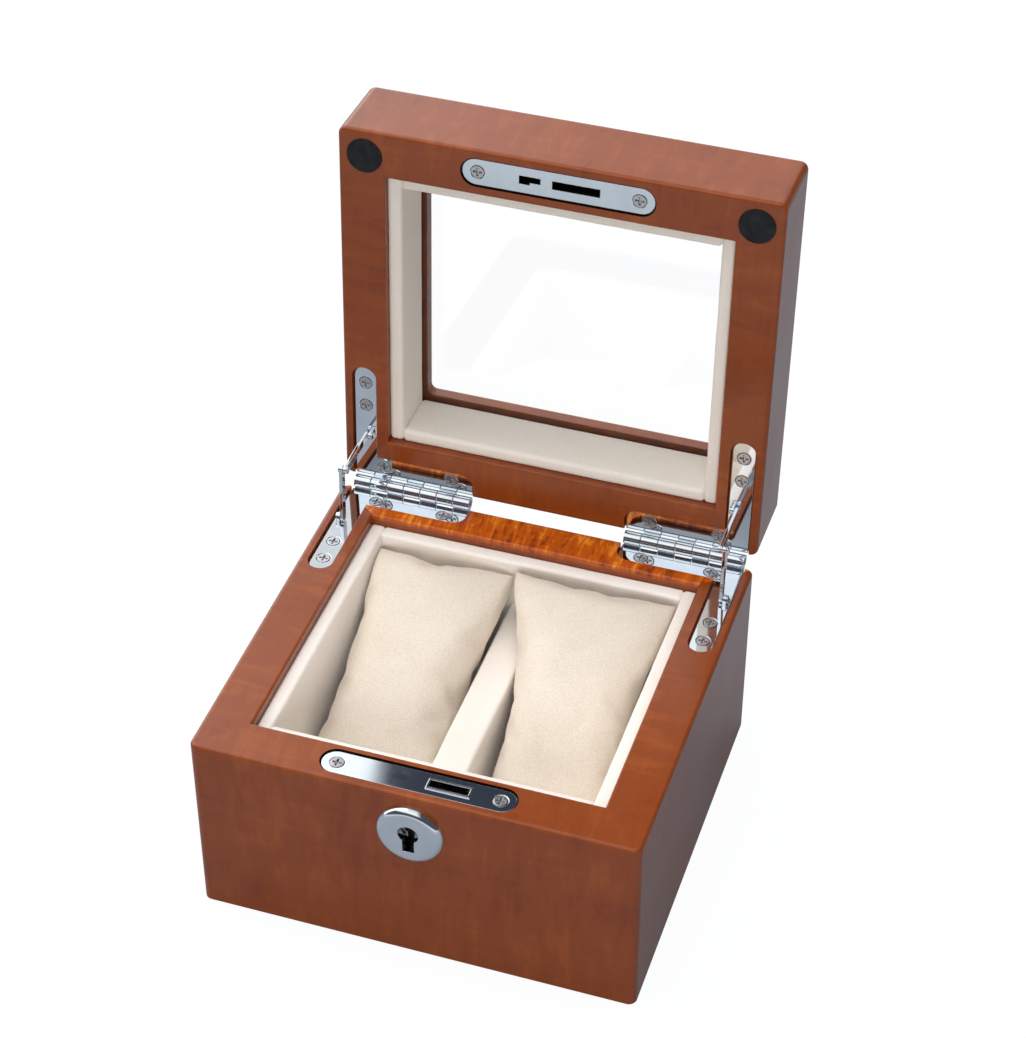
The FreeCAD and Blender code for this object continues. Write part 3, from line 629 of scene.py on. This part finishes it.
def fill(piece, seam):
    """Blow a piece up with the cloth solver while its seam draws together, and keep the result."""
    piece.vertex_groups.new(name="seam").add(seam, 1.0, "REPLACE")
    bpy.context.scene.frame_set(1)
    cloth = piece.modifiers.new("cloth", "CLOTH")
    settings = cloth.settings
    settings.quality = 6
    settings.mass = 0.4
    settings.tension_stiffness = 20
    settings.compression_stiffness = 20
    settings.shear_stiffness = 8
    settings.bending_stiffness = 1.0
    settings.air_damping = 2
    settings.use_pressure = True
    settings.uniform_pressure_force = 1.8
    settings.effector_weights.gravity = 0
    settings.vertex_group_shrink = "seam"
    settings.shrink_max = 0.02
    cloth.collision_settings.use_collision = False
    cloth.point_cache.frame_start = 1
    cloth.point_cache.frame_end = FILL_FRAMES
    for number in range(1, FILL_FRAMES + 1):
        bpy.context.scene.frame_set(number)
    apply_modifiers(piece)


def held(place, low, high):
    """A coordinate kept between two walls, easing off before it meets them."""
    if place > high - EASE:
        return high - EASE + EASE * math.tanh((place - high + EASE) / EASE)
    if place < low + EASE:
        return low + EASE + EASE * math.tanh((place - low - EASE) / EASE)
    return place


def side_walls(side, height, ear):
    """The walls beside a pillow at a height; over the divider the inner one gives way to its ear."""
    inner = DIVIDER_FACE + DIVIDER_GAP
    outer = LINER_FACE - SIDE_GAP
    over = min(max((height - DIVIDER_TOP) / EAR_RISE, 0), 1)
    over = over * over * (3 - 2 * over)
    if side == "right":
        return inner + (ear - inner) * over, outer
    return -outer, -inner + (ear + inner) * over


def crease(vertex, fold):
    """Draw a point on top of a pillow down near a fold that starts at its side."""
    side, along = fold
    reach = max(1 - abs(vertex.co.x - side) / FOLD_LENGTH, 0)
    depth = FOLD_DEPTH * reach * math.exp(-((vertex.co.y - along) / FOLD_WIDTH) ** 2)
    if vertex.normal.z > 0:
        vertex.co.z -= depth


def settle(mesh, side, middles, tilt, ear, fold):
    """Lay a pillow in its place: back end up, front end on the floor board, inner ear over the divider."""
    front_middle, back_middle = middles
    for vertex in mesh.vertices:
        share = vertex.co.y / SHEET_LENGTH + 0.5
        vertex.co.x += front_middle + (back_middle - front_middle) * share
    low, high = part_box(f"watch_pillow_{side}")
    centre = Vector((0, (low.y + high.y) / 2, 0))
    mesh.transform(Matrix.Translation(centre) @ Matrix.Rotation(math.radians(tilt), 4, "X"))
    rise = FLOOR_TOP + REST_GAP - min(vertex.co.z for vertex in mesh.vertices)
    mesh.transform(Matrix.Translation((0, 0, rise)))
    for vertex in mesh.vertices:
        vertex.co.x = held(vertex.co.x, *side_walls(side, vertex.co.z, ear))
        vertex.co.y = held(vertex.co.y, FRONT_FACE + REST_GAP, BACK_FACE - REST_GAP)
        crease(vertex, fold)


def pillow(side, seed, widths, middles, tilt, ear, fold):
    """A stuffed watch pillow in place of its plain solid."""
    node = f"watch_pillow_{side}"
    mesh, seam = sewn_sheets(node, seed, widths)
    piece = new_piece(node + "_cushion", mesh, node)
    fill(piece, seam)
    smooth = piece.modifiers.new("smooth", "SMOOTH")
    smooth.factor = 0.5
    smooth.iterations = 3
    apply_modifiers(piece)
    mesh = piece.data
    mesh.transform(Matrix.Scale(1 / SIM_SCALE, 4))
    heights = [vertex.co.z for vertex in mesh.vertices]
    mesh.transform(Matrix.Diagonal((1, 1, PILLOW_THICKNESS / (max(heights) - min(heights)), 1)))
    settle(mesh, side, middles, tilt, ear, fold)
    finer = piece.modifiers.new("finer", "SUBSURF")
    finer.levels = 1
    finer.render_levels = 1
    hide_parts(node)


for side, traits in PILLOWS.items():
    pillow(side, **traits)


# Stage: white surroundings, a large soft lamp overhead and another from the right front

WHITE = (1, 1, 1)
BACKDROP = (1.0, 1.02, 1.05)
GLOOM = (0.015, 0.022, 0.04)
CEILING = (0.8, 0.8, 0.82)
LEFT_PANEL = (2.2, 2.2, 2.2)
FRONT_LOW = (0.06, 0.06, 0.07)
FRONT_HIGH = (1.1, 1.1, 1.1)
DARK_RIGHT = (0.05, 0.05, 0.06)
WORLD_MIRRORED = 0.03         # share of the white surroundings in reflections
FLOOR_SIZE = 8
FLOOR_LEVEL = -0.0003
FLOOR_COLOUR = (0.26, 0.29, 0.325)
PAPER_STRENGTH = 0.94
SHADE_SHARE = 0.25            # of the lit floor, shadow and all, that shows on the paper
MIRROR_SHADED_NEAR = (-0.20, 0.05)   # place in y and share of the paper in reflections near the box, kept low as painted shade of the box's shadow
MIRROR_FAR = (-0.42, 0.5)     # and farther in front of it
LAMP_TARGET = Vector((0, 0, 0.08))
LAMPS = {
    "overhead": {"place": (0.12, 0.28, 1.45), "size": (1.3, 1.1), "power": 10.5},
    "key": {"place": (0.38, -1.42, 0.58), "size": (0.9, 0.6), "power": 11.5},
}


def seen_directly(tree, mirrored):
    """1 for rays from the camera, also through glass, a share for reflections and 0 for the rest."""
    path = add(tree, "LightPath").outputs
    bounced = math_node(tree, "MINIMUM", path["Diffuse Depth"], 1.0)
    clear = math_node(tree, "SUBTRACT", 1.0, bounced)
    through = math_node(tree, "MULTIPLY", path["Is Transmission Ray"], clear)
    reflected = math_node(tree, "MULTIPLY", path["Is Glossy Ray"], mirrored)
    return math_node(tree, "MAXIMUM", math_node(tree, "MAXIMUM", path["Is Camera Ray"], through), reflected)


def shown(tree, output, lit, seen, mirrored):
    """One shader for rays that carry light and another for those that show the surroundings."""
    inputs = {0: seen_directly(tree, mirrored), 1: lit.outputs[0], 2: seen.outputs[0]}
    both = add(tree, "MixShader", inputs)
    feed(tree, output, {"Surface": both.outputs[0]})


def room(tree):
    """The room's light by direction: wall, gloom, ceiling, bright left, front wall and dark right."""
    x, y, z = add(tree, "SeparateXYZ", {"Vector": add(tree, "TexCoord").outputs["Generated"]}).outputs
    leftward = math_node(tree, "MULTIPLY", x, -1.0)
    forward = math_node(tree, "MULTIPLY", y, -1.0)
    light = ramp(tree, z, ((0.58, BACKDROP), (0.61, GLOOM), (0.80, GLOOM), (0.90, CEILING)))
    left_stops = (
        (0.264, 0.0), (0.270, 0.55), (0.286, 0.55),
        (0.296, 0.35), (0.312, 0.35), (0.33, 1.0),
    )
    light = mix(tree, grey_ramp(tree, leftward, left_stops), light, LEFT_PANEL)
    front = ramp(tree, z, ((0.52, FRONT_LOW), (0.66, FRONT_HIGH)))
    light = mix(tree, grey_ramp(tree, forward, ((0.05, 0.0), (0.35, 1.0))), light, front)
    return mix(tree, grey_ramp(tree, x, ((0.15, 0.0), (0.4, 1.0))), light, DARK_RIGHT)


def surroundings():
    """A room that lights the box and looks white."""
    world = bpy.data.worlds.new("studio")
    bpy.context.scene.world = world
    world.use_nodes = True
    tree = world.node_tree
    tree.nodes.clear()
    studio = add(tree, "Background", {"Color": room(tree), "Strength": 1.0})
    white = add(tree, "Background", {"Color": WHITE, "Strength": 1.0})
    shown(tree, add(tree, "OutputWorld"), studio, white, WORLD_MIRRORED)


def white_floor():
    """A floor that looks like white paper with a faint shadow and gives the box little light, and that
    reflections show darker near the box as painted shade.
    """
    bpy.ops.mesh.primitive_plane_add(size=FLOOR_SIZE, location=(0, 0, FLOOR_LEVEL))
    floor = bpy.context.object
    floor.name = "floor"
    material, tree, shader = surface("floor")
    feed(tree, shader, {"Base Color": FLOOR_COLOUR, "Roughness": 0.9, "Specular IOR Level": 0.1})
    paper = add(tree, "Emission", {"Color": WHITE, "Strength": PAPER_STRENGTH})
    faint = add(tree, "MixShader", {0: SHADE_SHARE, 2: shader.outputs[0]})
    bare = add(tree, "AddShader", {0: paper.outputs[0], 1: faint.outputs[0]})
    # painted shade: reflections show less of the paper near the box and more of it farther in front
    mirrored = add(tree, "MapRange", {
        "Value": add(tree, "SeparateXYZ", {"Vector": object_place(tree)}).outputs["Y"],
        "From Min": MIRROR_SHADED_NEAR[0],
        "From Max": MIRROR_FAR[0],
        "To Min": MIRROR_SHADED_NEAR[1],
        "To Max": MIRROR_FAR[1],
    })
    shown(tree, tree.nodes["Material Output"], shader, bare, mirrored.outputs[0])
    paint(floor, material)


def softbox(name, place, size, power):
    """A rectangular lamp that faces the box and isn't mirrored in it."""
    lamp = bpy.data.objects.new(name, bpy.data.lights.new(name, "AREA"))
    lamp.data.shape = "RECTANGLE"
    lamp.data.size, lamp.data.size_y = size
    lamp.data.energy = power
    lamp.location = place
    lamp.rotation_euler = (LAMP_TARGET - Vector(place)).to_track_quat("-Z", "Y").to_euler()
    lamp.visible_glossy = False
    bpy.context.collection.objects.link(lamp)


surroundings()
white_floor()
for name, traits in LAMPS.items():
    softbox(name, **traits)

bpy.context.scene.view_settings.view_transform = "Standard"
bpy.context.view_layer.update()
